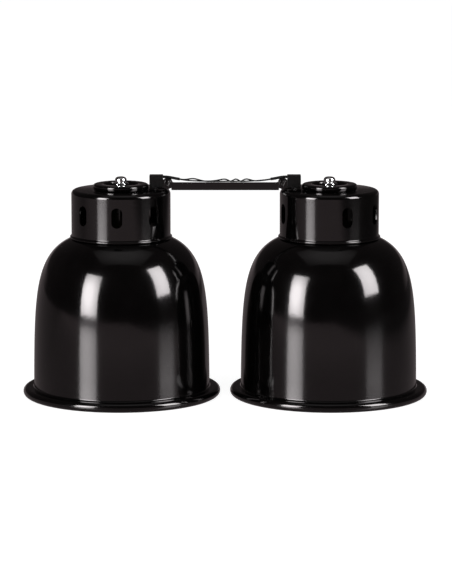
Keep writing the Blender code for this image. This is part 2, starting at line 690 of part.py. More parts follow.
def build_bar(frame):
    """The link bar with a hinge eye at each end, and its twisted wires."""
    def end(side):
        points = [(PIN_X - BAR_STEP, BAR_BOTTOM), (PIN_X - BAR_STEP, PIN_Z - EYE_R - GAP)]
        points += arc(PIN_X, PIN_Z, EYE_R, -90, 150, 9)
        points.append((PIN_X - BAR_STEP - BAR_SLOPE, BAR_TOP))
        return [(side * x, z) for x, z in points]

    outline = end(1) + list(reversed(end(-1)))
    mesh = prism_mesh("link_bar", outline, BAR_HALF_WIDTH * 2)
    bar = place("link_bar", mesh, BLACK, frame)
    holes = [(along_y(side * PIN_X, 0, PIN_Z), PIN_R + PIN_PLAY, EAR_OUT * 4, 0, HOLE_SIDES)
             for side in (-1, 1)]
    combine(bar, cutter("bar_pin_holes", holes, frame), "DIFFERENCE")
    for letter, phase in (("a", 0.0), ("b", math.pi)):
        wire("link_wire_" + letter, twisted_path(phase), WIRE_R, MOULDED, frame)


def twisted_path(phase):
    """One of two wires that lie on the bar and hump over each other, most at the middle."""
    path = []
    for i in range(WIRE_STEPS + 1):
        share = i / WIRE_STEPS
        along = 2.0 * share - 1.0
        eased = share * share * (3.0 - 2.0 * share)
        sway = TWIST_UNEVEN * math.sin(2 * math.pi * TWIST_WAVES * share) * (1.0 - along * along)
        turn = 2 * math.pi * TWIST_TURNS * eased + sway + phase
        lift = TWIST_HUMP * max(0.0, math.sin(turn)) ** 1.5 + TWIST_RISE * along ** 4
        path.append((TWIST_HALF * along, TWIST_SIDE * math.cos(turn), TWIST_Z + lift))
    return path


def build_gland(lamp):
    """Mains inlet at the back of the left neck: gland body and lock nut."""
    seat = NECK_R + GLAND_STANDOFF
    face = seat + GLAND_REACH
    nut_high = NECK_R - SHEET - GLAND_NUT_INSET
    nut_low = nut_high - GLAND_NUT
    tail = nut_low - GLAND_TAIL
    turn = (90, 0, GLAND_ANGLE)
    body = [(GLAND_BORE, face), (GLAND_GRIP_R - GLAND_ROUND, face), (GLAND_GRIP_R, face - GLAND_ROUND),
            (GLAND_GRIP_R, seat + GLAND_FLANGE), (GLAND_FLANGE_R, seat + GLAND_FLANGE),
            (GLAND_FLANGE_R, seat), (GLAND_R, seat), (GLAND_R, tail), (GLAND_BORE, tail)]
    turned("mains_gland", body, 16, MOULDED, lamp, (0, 0, GLAND_Z), turn)
    ring_hex("gland_nut", GLAND_NUT_ACROSS, GLAND_HOLE, nut_low, nut_high, MOULDED, lamp,
             (0, 0, GLAND_Z), turn)


frame = empty("bar_frame", (0, 0, 0))
build_bar(frame)
for label, side, slots in (("left", -1, LEFT_SLOTS), ("right", 1, RIGHT_SLOTS)):
    tilt = empty(label + "_tilt_axis", (side * PIN_X, 0, PIN_Z), frame)
    lamp = empty(label + "_lamp_axis", (side * (LAMP_X - PIN_X), 0, -PIN_Z), tilt)
    bulb_axis = empty(label + "_bulb_axis", (0, 0, 0), lamp)
    build_shade(lamp, label, slots, side < 0)
    build_stack(lamp, label)
    build_socket(lamp, label)
    build_bulb(bulb_axis, label)
    build_bracket(lamp, label, side)
    build_lead(lamp, label, side)
    if side < 0:
        build_gland(lamp)

for made in PARTS.objects:
    if made.type == "MESH":
        made.data.shade_smooth()
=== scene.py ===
"""Looks of the twin deep-dome grow lamp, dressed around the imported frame.

Sizes of the object are in millimetres and are scaled to metres as the meshes
are made. Sizes of the studio are in metres.
"""
import math

import bmesh
import bpy
from mathutils import Matrix, Vector


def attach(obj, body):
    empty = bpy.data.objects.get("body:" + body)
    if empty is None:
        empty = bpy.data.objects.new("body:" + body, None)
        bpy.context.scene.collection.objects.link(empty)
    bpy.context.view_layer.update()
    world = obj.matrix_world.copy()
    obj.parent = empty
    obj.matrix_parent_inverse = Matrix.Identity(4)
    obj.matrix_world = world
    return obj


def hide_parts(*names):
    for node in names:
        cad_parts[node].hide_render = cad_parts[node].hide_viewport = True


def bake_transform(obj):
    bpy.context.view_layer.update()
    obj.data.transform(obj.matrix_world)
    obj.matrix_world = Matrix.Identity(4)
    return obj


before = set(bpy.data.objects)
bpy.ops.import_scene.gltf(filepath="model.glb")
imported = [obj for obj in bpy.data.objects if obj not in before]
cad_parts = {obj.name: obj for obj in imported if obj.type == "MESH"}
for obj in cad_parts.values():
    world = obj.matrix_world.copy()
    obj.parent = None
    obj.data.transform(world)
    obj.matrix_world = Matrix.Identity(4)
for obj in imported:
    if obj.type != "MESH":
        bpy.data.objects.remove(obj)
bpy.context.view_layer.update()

MM = 0.001
GAP = 0.3
ON_AXIS = 1e-6
HOLE_SIDES = 32
SHARP = 32.0
SHARP_FLAT = 30.0
SHARP_ROUND = 40.0
BEVEL_ANGLE = 35.0
SIDES = {"left": -1, "right": 1}
QUARTER_TURN = Matrix.Rotation(math.radians(90), 4, "X")

# bell shade
RIM_R = 70.0
RIM_FILLET = 1.0
BEAD_R = 3.2
BEAD_FOOT = 0.75
BEAD_FOOT_ANGLE = 18
CURL_END = -190
FLANGE = 7.6
SHEET = 1.2
WALL_R = RIM_R - FLANGE
WALL_TAPER = 0.1
WALL_LOW = 8.0
WALL_HIGH = 18.0
CREASE = ((0.9, 4.6), (0.1, 6.4))
BELL_R = WALL_R + 0.14
BELL_POWER = 2.9
BELL_FALL = 21.65
BELL_STEPS = 48
SHADE_STEPS = 192

# vented neck cap, with its top as the datum for what sits on it
NECK_R = 35.0
CAP_TOP = 147.0
CAP_EDGE = 3.0
CAP_STEPS = 240
UNDER_CAP = CAP_TOP - SHEET - GAP
BELL_CROWN = CAP_TOP - 29.9
BELL_START = NECK_R + 1.0
INSIDE_START = 0.6
LEDGE_R = NECK_R - 8.0
LEDGE_TURN = 0.8
FOOT_TOP = 3.0
FOOT_RISE = 2.6
FOOT_FLARE = 0.1
FOOT_ROUND = 1.0
STUD_HOLE = 3.3
SLOT_WIDTH = 7.7
SLOT_HEIGHT = 14.2
SLOT_DEPTH = 12.0
SLOT_Z = CAP_TOP - 16.0
SLOTS = {"left": (-48.0, -3.0, 42.0, 118.0, 168.0, 218.0),
         "right": (-70.0, 19.5, 64.5, 124.0, 179.5, 235.0)}
GLAND_ANGLE = 195.5
GLAND_HOLE = 5.6
WALL_PLAY = 0.02
WALL_UPRIGHT = 0.999

# dished disc on the cap
DISC_R = NECK_R - 15.5
DISC_TOP = CAP_TOP + 4.0
DISC_ROUND = 1.5
DISC_HOLE = STUD_HOLE + 0.1
DISC_FOOT_IN = 0.3
DISC_FOOT_UP = 0.5
DISC_STEPS = 128
LIP_R = 13.0
LIP_ROUND = 1.0
DISH_R = 10.6
DISH_FLOOR = DISC_TOP - 2.1

# acorn nut on the disc: hex, rounded shoulder, short neck and squarish dome
NUT_SEAT = DISH_FLOOR + GAP
NUT_FLATS = 10.0
NUT_CORNER = 5.65
NUT_FOOT_IN = 0.25
NUT_FOOT_UP = 0.3
NUT_SHOULDER = 1.7
NUT_LAND_R = 4.35
NUT_HEX_TOP = NUT_SEAT + 2.7
NUT_NECK_R = 3.3
NUT_DOME_R = 4.2
NUT_DOME_Z = NUT_HEX_TOP + 0.8
NUT_DOME_RISE = 3.3
NUT_SQUARE = 0.68
NUT_STEPS = 72

# link bar, a flat strip on edge with a hinge eye at each end
LAMP_X = RIM_R + 3.5
PIN_X = LAMP_X - NECK_R + 2.0
PIN_Z = CAP_TOP + 4.8
BAR_HALF_WIDTH = 1.5
BAR_BOTTOM = CAP_TOP - 0.6
BAR_TOP = BAR_BOTTOM + 5.4
BAR_STEP = 2.6
BAR_SLOPE = 1.4
BAR_ROUND = 0.4
EYE_R = 2.6
EYE_END = 150

# the two wires that sag on to the bar, and the sleeves at their ends
WIRE_R = 0.5
WIRE_STEPS = 200
TWIST_SIDE = 0.58
TWIST_HUMP = 1.5
TWIST_HUMP_POWER = 1.5
TWIST_TURNS = 2
TWIST_UNEVEN = 1.4
TWIST_WAVES = 1.5
TWIST_RISE = 1.6
TWIST_RISE_POWER = 4
TWIST_HALF = PIN_X - 8.1
TWIST_Z = BAR_TOP + GAP + WIRE_R
SLEEVE_R = 1.0
SLEEVE_Z = PIN_Z + EYE_R + GAP + SLEEVE_R
SLEEVE_BOW = 0.3
SLEEVE_TUCK = 0.05
SLEEVE_LAP = 0.4
SLEEVE_STEPS = 28

# hinge bracket and cable outlet
EAR_R = 3.2
EAR_SHEET = 1.2
EAR_SQUARE = 1.6
EAR_SQUARE_END = 60
EAR_IN = BAR_HALF_WIDTH + GAP
EAR_OUT = EAR_IN + EAR_SHEET
BRACKET_SHEET = 1.0
BRACKET_ROUND = 0.25
BASE_LOW = CAP_TOP + GAP
BASE_TOP = BASE_LOW + BRACKET_SHEET
BASE_IN = PIN_X - 1.1
BASE_OUT = LAMP_X - DISC_R - 0.4
BASE_HALF_WIDTH = 10.8
EAR_LOW = BASE_LOW + BRACKET_SHEET * 0.4
OUTLET_IN = PIN_X + EAR_R + GAP
OUTLET_FACE = PIN_X + EAR_R + 0.05
OUTLET_OUT = BASE_OUT - 0.3
OUTLET_LOW = BASE_TOP + GAP
OUTLET_TOP = SLEEVE_Z + SLEEVE_R + 0.3
OUTLET_HALF_WIDTH = 5.0
OUTLET_ROUND = 0.3

# hinge screw and bracket rivets
TURNED_STEPS = 40
PIN_R = 1.3
PIN_HEAD_R = 2.5
PIN_HEAD = 1.4
PIN_HEAD_ROUND = 0.4
PIN_TAIL = 2.6
PIN_CHAMFER = 0.3
DRIVE_R = 0.35
DRIVE_LENGTH = 1.4
DRIVE_STRETCH = 1.5
DRIVE_OUT = 1.5
DRIVE_SIDES = 12
RIVET_X = (OUTLET_IN + BASE_OUT) / 2
RIVET_Y = BASE_HALF_WIDTH - 2.3
RIVET_R = 1.0
RIVET_HEAD_R = 2.0
RIVET_DOME_R = 2.2
RIVET_SINK = 0.9
RIVET_TAIL = 0.9

# bulb; its neck is given as radius beyond the throat, and height
BULB_R = 30.0
BULB_LOW = 18.0
BULB_MIDDLE = BULB_LOW + BULB_R
BULB_THROAT_R = 11.0
BULB_THROAT_TOP = 110.0
BULB_NECK = ((0.0, BULB_THROAT_TOP), (0.0, 98.0), (1.4, 92.0), (7.0, 78.0))
BULB_WALL = 1.2
BULB_CORE = 0.4
BULB_STEPS = 96

# studio levels, where 1 is white, and where they fade
WHITE = (1.0, 1.0, 1.0, 1.0)
WARM = (1.0, 0.84, 0.86, 1.0)
NOISE_MIDDLE = (0.35, 0.65)
FLOOR_SIZE = 4.0
FLOOR_GREY = 0.4
FLOOR_WHITE = 0.9
FLOOR_SHEEN = 0.03
# the floor's painted glow in reflections: its level in front, behind and aside, and where it fades
FLOOR_IN_GLOSS = 0.36
FLOOR_BEHIND = 0.14
FLOOR_BEHIND_Y = (-0.4, 0.05)
FLOOR_ASIDE = 0.1
FLOOR_ASIDE_X = (0.4, 0.65)
ROOM = 0.035
BACKDROP = 0.28
BACKDROP_Y = (0.6, 0.95)
BACKDROP_Z = (0.12, 0.05)
AMBIENT = 0.25
BOX_MIDDLE = 1.15
BOX_FADE = (0.2, 0.72)
BOX_AIM = (0.0, 0.0, 0.08)

# camera
CAMERA_PLACE = (0.0006, -2.2, 0.44)
CAMERA_AIM = (0.0006, 0.0, 0.0735)
CAMERA_LENS = 194.0
CAMERA_SENSOR = 36.0


def arc(cx, cz, radius, start, end, count):
    """Points on an arc, angles in degrees."""
    step = (end - start) / (count - 1)
    angles = [math.radians(start + step * i) for i in range(count)]
    return [(cx + radius * math.cos(a), cz + radius * math.sin(a)) for a in angles]


def ease(share):
    """A share from 0 to 1 that starts and ends gently."""
    return share * share * (3.0 - 2.0 * share)


def grey(level):
    """A plain grey."""
    return (level, level, level, 1.0)


def bell(radius):
    """Height of the outside of the bell at a radius."""
    return BELL_CROWN + BELL_FALL * math.log(1.0 - (radius / BELL_R) ** BELL_POWER)


def bell_inside(radius):
    """The point one sheet thickness inside the bell at a radius."""
    share = (radius / BELL_R) ** BELL_POWER
    slope = -BELL_FALL * BELL_POWER * share / radius / (1.0 - share)
    length = math.hypot(slope, 1.0)
    return radius + SHEET * slope / length, bell(radius) - SHEET / length


class Nodes:
    """A node tree being put together."""

    def __init__(self, tree):
        self.tree = tree

    def node(self, kind, **settings):
        """A node with its settings: sockets by name, or properties."""
        made = self.tree.nodes.new(kind)
        for key, value in settings.items():
            label = key.replace("_", " ")
            if label in made.inputs:
                made.inputs[label].default_value = value
            else:
                setattr(made, key, value)
        return made

    def join(self, source, target):
        """Link one socket to another, or set it to a value."""
        if isinstance(source, bpy.types.NodeSocket):
            self.tree.links.new(source, target)
        else:
            target.default_value = source

    def sums(self, operation, *terms):
        """The result of an operation on sockets and numbers."""
        made = self.node("ShaderNodeMath", operation=operation)
        for term, socket in zip(terms, made.inputs):
            self.join(term, socket)
        return made.outputs["Value"]

    def spread(self, source, span, low=0.0, high=1.0):
        """Map a span of a number to the range from low to high."""
        start, end = span
        made = self.node("ShaderNodeMapRange", From_Min=start, From_Max=end, To_Min=low, To_Max=high)
        self.join(source, made.inputs["Value"])
        return made.outputs["Result"]

    def mix(self, share, first, second):
        """Between two numbers or two colours."""
        kind = "RGBA" if isinstance(second, tuple) else "FLOAT"
        made = self.node("ShaderNodeMix", data_type=kind)
        for value, label in ((share, "Factor"), (first, "A"), (second, "B")):
            self.join(value, made.inputs[label])
        return made.outputs["Result"]

    def split(self, source):
        """The X, Y and Z of a vector."""
        made = self.node("ShaderNodeSeparateXYZ")
        self.join(source, made.inputs["Vector"])
        return made.outputs


class Surface(Nodes):
    """A material on one Principled shader."""

    def __init__(self, name, **values):
        self.made = bpy.data.materials.new(name)
        self.made.use_nodes = True
        super().__init__(self.made.node_tree)
        self.shader = self.tree.nodes["Principled BSDF"]
        for socket, value in values.items():
            self.shader.inputs[socket.replace("_", " ")].default_value = value

    def noise(self, scale, detail=3.0, stretch=None):
        """Noise on the object's own coordinates, in cycles per metre."""
        place = self.node("ShaderNodeTexCoord").outputs["Object"]
        if stretch:
            mapping = self.node("ShaderNodeMapping", Scale=stretch)
            self.join(place, mapping.inputs["Vector"])
            place = mapping.outputs["Vector"]
        texture = self.node("ShaderNodeTexNoise", Scale=scale, Detail=detail)
        self.join(place, texture.inputs["Vector"])
        return texture.outputs["Fac"]

    def ramp(self, source, low, high, socket):
        """Spread the middle of a noise between two values or two colours, on a socket."""
        made = self.node("ShaderNodeValToRGB")
        for stop, position, value in zip(made.color_ramp.elements, NOISE_MIDDLE, (low, high)):
            stop.position = position
            stop.color = value if isinstance(value, tuple) else grey(value)
        self.join(source, made.inputs["Fac"])
        self.join(made.outputs["Color"], self.shader.inputs[socket])

    def colour(self, source, low, high):
        """Colour between two tints."""
        self.ramp(source, (*low, 1.0), (*high, 1.0), "Base Color")

    def haze(self, source, low, high):
        """Roughness between two levels."""
        self.ramp(source, low, high, "Roughness")

    def bump(self, source, distance):
        """Relief from a noise, in metres."""
        made = self.node("ShaderNodeBump", Distance=distance, Strength=1.0)
        self.join(source, made.inputs["Height"])
        self.join(made.outputs["Normal"], self.shader.inputs["Normal"])


def gloss_black():
    """Sprayed gloss enamel: faint orange peel and faint hazing."""
    s = Surface("gloss_black_enamel", IOR=1.5, Specular_Tint=(1.0, 0.95, 0.96, 1.0))
    s.colour(s.noise(90.0), (0.0012, 0.0011, 0.0011), (0.0022, 0.002, 0.002))
    s.haze(s.noise(35.0, 4.0), 0.085, 0.115)
    s.bump(s.noise(420.0, 1.0), 0.000012)
    return s.made


def satin_black():
    """Moulded black plastic with a fine grain."""
    s = Surface("satin_black_moulding", IOR=1.33)
    s.colour(s.noise(200.0), (0.002, 0.0019, 0.0018), (0.004, 0.0037, 0.0036))
    s.haze(s.noise(600.0), 0.28, 0.38)
    s.bump(s.noise(2600.0, 2.0), 0.00003)
    return s.made


def insulation():
    """Black silicone insulation, slightly dusty."""
    s = Surface("black_wire_insulation", IOR=1.42)
    s.colour(s.noise(900.0), (0.008, 0.008, 0.008), (0.016, 0.016, 0.015))
    s.haze(s.noise(700.0), 0.25, 0.4)
    s.bump(s.noise(3000.0, 1.0), 0.00001)
    return s.made


def spun_aluminium():
    """Bare inside of the shade, with the fine rings that spinning leaves."""
    s = Surface("spun_aluminium", Metallic=1.0, IOR=1.45)
    rings = s.noise(1.0, 2.0, (4.0, 4.0, 2600.0))
    s.colour(s.noise(30.0), (0.72, 0.72, 0.73), (0.8, 0.8, 0.8))
    s.haze(rings, 0.24, 0.36)
    s.bump(rings, 0.00002)
    return s.made


def chrome():
    """Bright plate with very light scuffs."""
    s = Surface("chrome_plate", Metallic=1.0)
    s.colour(s.noise(300.0), (0.78, 0.78, 0.79), (0.86, 0.86, 0.86))
    s.haze(s.noise(900.0, 4.0), 0.13, 0.22)
    return s.made


def zinc_steel():
    """Zinc-plated steel with a light brushed streak."""
    s = Surface("zinc_plated_steel", Metallic=1.0)
    s.colour(s.noise(150.0), (0.5, 0.51, 0.53), (0.62, 0.62, 0.62))
    s.haze(s.noise(1.0, 3.0, (3000.0, 200.0, 200.0)), 0.22, 0.38)
    return s.made


def brass():
    """Plain brass, a little tarnished in patches."""
    s = Surface("plain_brass", Metallic=1.0)
    s.colour(s.noise(120.0), (0.62, 0.44, 0.18), (0.8, 0.62, 0.32))
    s.haze(s.noise(400.0), 0.18, 0.32)
    return s.made


def porcelain():
    """Porcelain coloured near-black as painted shade for the socket seen through the vents, with slight
    pooling of the glaze.
    """
    s = Surface("porcelain_painted_shade", IOR=1.5)
    # painted shade: the near-black colour stands for the shade inside the vented can, not the
    # porcelain's own colour
    s.colour(s.noise(60.0), (0.012, 0.009, 0.007), (0.022, 0.017, 0.013))
    s.haze(s.noise(140.0), 0.1, 0.2)
    s.bump(s.noise(160.0, 1.0), 0.00004)
    return s.made


def opal_glass():
    """White-coated bulb glass."""
    s = Surface("opal_bulb_glass", IOR=1.5, Coat_Weight=0.6, Coat_Roughness=0.05)
    s.colour(s.noise(40.0), (0.84, 0.84, 0.82), (0.89, 0.89, 0.87))
    s.haze(s.noise(500.0), 0.3, 0.4)
    return s.made


BLACK = gloss_black()
MOULDED = satin_black()
WIRE = insulation()
SPUN = spun_aluminium()
CHROME = chrome()
ZINC = zinc_steel()
BRASS = brass()
PORCELAIN_PAINTED_SHADE = porcelain()
OPAL = opal_glass()


def smooth(mesh, sharp):
    """Smooth shading, but for edges sharper than an angle in degrees."""
    mesh.shade_smooth()
    mesh.set_sharp_from_angle(angle=math.radians(sharp))


def finish_mesh(name, shape, surfaces, sharp=SHARP):
    """Turn a bmesh into a smooth-shaded object with its surfaces."""
    bmesh.ops.recalc_face_normals(shape, faces=shape.faces)
    mesh = bpy.data.meshes.new(name)
    shape.to_mesh(mesh)
    shape.free()
    smooth(mesh, sharp)
    for surface in surfaces:
        mesh.materials.append(surface)
    made = bpy.data.objects.new(name, mesh)
    bpy.context.scene.collection.objects.link(made)
    return made


def skin(shape, rings, steps, closed, inner_from=None):
    """Join each ring to the next; a ring of one point is a pole."""
    count = len(rings) if closed else len(rings) - 1
    for k in range(count):
        one, two = rings[k], rings[(k + 1) % len(rings)]
        for i in range(steps):
            j = (i + 1) % steps
            corners = [one[i % len(one)], one[j % len(one)], two[j % len(two)], two[i % len(two)]]
            corners = list(dict.fromkeys(corners))
            if len(corners) > 2:
                face = shape.faces.new(corners)
                face.material_index = 1 if inner_from is not None and k >= inner_from else 0


def lathe(name, points, steps, surfaces, centre=(0, 0, 0), inner_from=None, sharp=SHARP, turn=None):
    """A turned piece; faces from profile point inner_from on take the second surface."""
    shape = bmesh.new()
    rings = []
    for r, z in points:
        if r < ON_AXIS:
            rings.append([shape.verts.new((0.0, 0.0, z * MM))])
            continue
        ring = []
        for i in range(steps):
            a = 2 * math.pi * i / steps
            ring.append(shape.verts.new((r * MM * math.cos(a), r * MM * math.sin(a), z * MM)))
        rings.append(ring)
    closed = points[0][0] > ON_AXIS or points[-1][0] > ON_AXIS
    skin(shape, rings, steps, closed, inner_from)
    move = Matrix.Translation(Vector(centre) * MM)
    if turn is not None:
        move = move @ turn
    bmesh.ops.transform(shape, matrix=move, verts=shape.verts)
    return finish_mesh(name, shape, surfaces, sharp)


def extrude(name, corners, push, surfaces):
    """A flat outline, made thick along a vector."""
    shape = bmesh.new()
    verts = [shape.verts.new([value * MM for value in corner]) for corner in corners]
    face = shape.faces.new(verts)
    grown = bmesh.ops.extrude_face_region(shape, geom=[face])["geom"]
    moved = [item for item in grown if isinstance(item, bmesh.types.BMVert)]
    bmesh.ops.translate(shape, vec=[value * MM for value in push], verts=moved)
    return finish_mesh(name, shape, surfaces)


def prism(name, outline, low, high, surfaces):
    """An outline in x and z, thick from low to high along y."""
    return extrude(name, [(x, low, z) for x, z in outline], (0, high - low, 0), surfaces)


def soften(made, width, segments=3):
    """Round the edges of a piece."""
    step = made.modifiers.new("edges", "BEVEL")
    step.width = width * MM
    step.segments = segments
    step.limit_method = "ANGLE"
    step.angle_limit = math.radians(BEVEL_ANGLE)
    step.harden_normals = True


def evaluated(made):
    """The mesh that an object comes to."""
    graph = bpy.context.evaluated_depsgraph_get()
    return bpy.data.meshes.new_from_object(made.evaluated_get(graph))


def boolean(made, other, operation):
    """Cut or join, then drop the helper."""
    step = made.modifiers.new("shape", "BOOLEAN")
    step.operation = operation
    step.solver = "EXACT"
    step.object = other
    mesh = evaluated(made)
    made.modifiers.clear()
    made.data = mesh
    bpy.data.objects.remove(other)


def holes(name, items):
    """Cutters: each is (matrix, radius, depth, stretch, sides)."""
    shape = bmesh.new()
    for matrix, radius, depth, stretch, sides in items:
        fresh = bmesh.ops.create_cone(
            shape, cap_ends=True, segments=sides, radius1=radius * MM,
            radius2=radius * MM, depth=depth * MM)["verts"]
        for vert in fresh:
            vert.co.y += math.copysign(stretch * MM, vert.co.y) if stretch else 0.0
        bmesh.ops.transform(shape, matrix=matrix, verts=fresh)
    return finish_mesh(name, shape, [])


def radial(angle, radius, z):
    """A hole along a radius; angle 0 faces the front and grows to the right."""
    aim = Matrix.Rotation(math.radians(angle), 4, "Z")
    return aim @ along_y(0, -radius, z)


def along_y(x, y, z):
    """A hole along Y."""
    return Matrix.Translation(Vector((x, y, z)) * MM) @ QUARTER_TURN


def tube(name, path, radius, surface, sides=8):
    """A round wire along points, as a smooth curve."""
    curve = bpy.data.curves.new(name, "CURVE")
    curve.dimensions = "3D"
    curve.bevel_depth = radius * MM
    curve.bevel_resolution = sides
    curve.use_fill_caps = True
    spline = curve.splines.new("POLY")
    spline.points.add(len(path) - 1)
    for point, co in zip(spline.points, path):
        point.co = (*[value * MM for value in co], 1.0)
    spline.use_smooth = True
    curve.materials.append(surface)
    made = bpy.data.objects.new(name, curve)
    bpy.context.scene.collection.objects.link(made)
    mesh = evaluated(made)
    bpy.data.objects.remove(made)
    shape = bmesh.new()
    shape.from_mesh(mesh)
    bpy.data.meshes.remove(mesh)
    bmesh.ops.remove_doubles(shape, verts=shape.verts, dist=1e-6)
    return finish_mesh(name, shape, [surface], sharp=50.0)


def dress(made, body, slot, *nodes):
    """Fix a piece to its body, in place of its solids."""
    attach(made, body)
    if nodes:
        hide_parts(*nodes)


def smooth_path(points, steps):
    """A Catmull-Rom curve through points."""
    ends = [points[0]] + list(points) + [points[-1]]
    out = []
    for i in range(1, len(ends) - 2):
        p0, p1, p2, p3 = [Vector(p) for p in ends[i - 1:i + 3]]
        for k in range(steps):
            t = k / steps
            out.append(0.5 * (2 * p1 + (p2 - p0) * t + (2 * p0 - 5 * p1 + 4 * p2 - p3) * t * t
                              + (3 * p1 - p0 - 3 * p2 + p3) * t ** 3))
    out.append(Vector(points[-1]))
    return [tuple(p) for p in out]


def make_shade(side, cx):
    """Bell with ledge, rolled rim and a bare spun inside."""
    top = bell(BELL_START)
    ledge_end = BELL_START - LEDGE_TURN
    span = WALL_R - WALL_TAPER - BELL_START
    shares = [math.sin(math.pi / 2 * i / BELL_STEPS) for i in range(BELL_STEPS + 1)]
    outside = [(LEDGE_R, top), (ledge_end, top)]
    outside += [(BELL_START + span * s, bell(BELL_START + span * s)) for s in shares]
    bead_x = RIM_R - BEAD_R
    outside += arc(WALL_R + RIM_FILLET, BEAD_R * 2 + RIM_FILLET, RIM_FILLET, 180, 270, 9)
    outside += arc(bead_x, BEAD_R, BEAD_R, 90, BEAD_FOOT_ANGLE - 90, 24)
    outside += [(bead_x + BEAD_FOOT, 0.0), (bead_x - BEAD_FOOT, 0.0)]
    outside += arc(bead_x, BEAD_R, BEAD_R, -BEAD_FOOT_ANGLE - 90, CURL_END, 12)
    wall = WALL_R - SHEET
    inside = [(wall + out, z) for out, z in CREASE] + [(wall, WALL_LOW), (wall, WALL_HIGH)]
    inner_span = span - INSIDE_START
    inside += [bell_inside(BELL_START + INSIDE_START + inner_span * s) for s in reversed(shares)]
    inside += [(ledge_end, top - SHEET), (LEDGE_R, top - SHEET)]
    made = lathe(side + "_bell", outside + inside, SHADE_STEPS, [BLACK, SPUN], (cx, 0, 0),
                 inner_from=len(outside) - 1, sharp=SHARP_ROUND)
    dress(made, side + "_lamp", "black_paint", side + "_shade")


def cap_normals(made, cx):
    """Exact normals on the can's wall, so that the slots leave no flat spots."""
    mesh = made.data
    normals = []
    corner = [Vector(n.vector) for n in mesh.corner_normals]
    for poly in mesh.polygons:
        upright = math.hypot(poly.normal.x, poly.normal.y) > WALL_UPRIGHT
        for loop in poly.loop_indices:
            point = mesh.vertices[mesh.loops[loop].vertex_index].co
            out = Vector((point.x - cx * MM, point.y, 0.0))
            wall = upright and NECK_R - WALL_PLAY < out.length / MM < NECK_R + WALL_PLAY
            normals.append(out.normalized() if wall and poly.normal.dot(out) > 0 else corner[loop])
    mesh.normals_split_custom_set(normals)


def make_cap(side, cx):
    """Neck can with long vents, rounded top edge and flared foot."""
    low = bell(BELL_START) + GAP
    centre = NECK_R - CAP_EDGE
    outside = [(STUD_HOLE, CAP_TOP)]
    outside += arc(centre, CAP_TOP - CAP_EDGE, CAP_EDGE, 90, 0, 12)
    outside += [(NECK_R, low + FOOT_TOP)]
    outside += arc(NECK_R + FOOT_ROUND, low + FOOT_RISE, FOOT_ROUND, 180, 225, 6)
    outside += arc(NECK_R + FOOT_FLARE, low + FOOT_ROUND, FOOT_ROUND, 60, -90, 12)
    outside += [(LEDGE_R, low)]
    inside = [(LEDGE_R, low + SHEET), (NECK_R - SHEET, low + SHEET)]
    inside += arc(centre, CAP_TOP - CAP_EDGE, CAP_EDGE - SHEET, 0, 90, 6)
    inside += [(STUD_HOLE, CAP_TOP - SHEET)]
    made = lathe(side + "_neck_can", outside + inside, CAP_STEPS, [BLACK])
    stretch = (SLOT_HEIGHT - SLOT_WIDTH) / 2
    cuts = []
    for angle in SLOTS[side]:
        cuts.append((radial(angle, NECK_R, SLOT_Z), SLOT_WIDTH / 2, SLOT_DEPTH, stretch, HOLE_SIDES))
    if side == "left":
        cuts.append((radial(GLAND_ANGLE, NECK_R, SLOT_Z), GLAND_HOLE, SLOT_DEPTH, 0, HOLE_SIDES))
    boolean(made, holes(side + "_vents", cuts), "DIFFERENCE")
    made.data.transform(Matrix.Translation((cx * MM, 0, 0)))
    smooth(made.data, SHARP)
    cap_normals(made, cx)
    dress(made, side + "_lamp", "black_paint", side + "_vent_cap")


def make_disc(side, cx):
    """Dished disc on the cap."""
    base = CAP_TOP + GAP
    points = arc(LIP_R, DISC_TOP - LIP_ROUND, LIP_ROUND, 165, 90, 7)
    points += arc(DISC_R - DISC_ROUND, DISC_TOP - DISC_ROUND, DISC_ROUND, 90, 0, 10)
    points += [(DISC_R, base + DISC_FOOT_UP), (DISC_R - DISC_FOOT_IN, base)]
    points += [(DISC_HOLE, base), (DISC_HOLE, DISH_FLOOR)]
    points += arc(DISH_R, DISH_FLOOR + LIP_ROUND, LIP_ROUND, 270, 340, 5)
    made = lathe(side + "_dished_disc", points, DISC_STEPS, [BLACK], (cx, 0, 0))
    dress(made, side + "_lamp", "black_paint", side + "_top_disc")


def nut_levels():
    """Greatest radius and height of each ring of the acorn nut, from its seat up."""
    levels = [(NUT_FLATS / 2 - NUT_FOOT_IN, NUT_SEAT), (NUT_CORNER, NUT_SEAT + NUT_FOOT_UP)]
    for across, up in arc(0, 0, 1.0, 0, 90, 9):
        radius = NUT_LAND_R + (NUT_CORNER - NUT_LAND_R) * across
        levels.append((radius, NUT_HEX_TOP - NUT_SHOULDER * (1 - up)))
    levels += [(NUT_NECK_R, NUT_HEX_TOP), (NUT_NECK_R, NUT_DOME_Z)]
    for across, up in arc(0, 0, 1.0, 1, 90, 24)[:-1]:
        levels.append((NUT_DOME_R * across ** NUT_SQUARE, NUT_DOME_Z + NUT_DOME_RISE * up ** NUT_SQUARE))
    return levels


def make_nut(side, cx):
    """Acorn nut on the axis: the flats of its hex cut into the turned shape."""
    shape = bmesh.new()
    sixth = math.pi / 3
    rings = []
    for radius, z in nut_levels():
        ring = []
        for i in range(NUT_STEPS):
            a = 2 * math.pi * i / NUT_STEPS
            fold = abs((a + sixth / 2) % sixth - sixth / 2)
            reach = min(NUT_FLATS / 2 / math.cos(sixth / 2 - fold), radius)
            place = (cx + reach * math.cos(a), reach * math.sin(a), z)
            ring.append(shape.verts.new([value * MM for value in place]))
        rings.append(ring)
    shape.faces.new(rings[0])
    rings.append([shape.verts.new((cx * MM, 0, (NUT_DOME_Z + NUT_DOME_RISE) * MM))])
    skin(shape, rings, NUT_STEPS, False)
    made = finish_mesh(side + "_acorn_nut", shape, [CHROME], sharp=25.0)
    dress(made, side + "_lamp", "chrome", side + "_cap_nut")


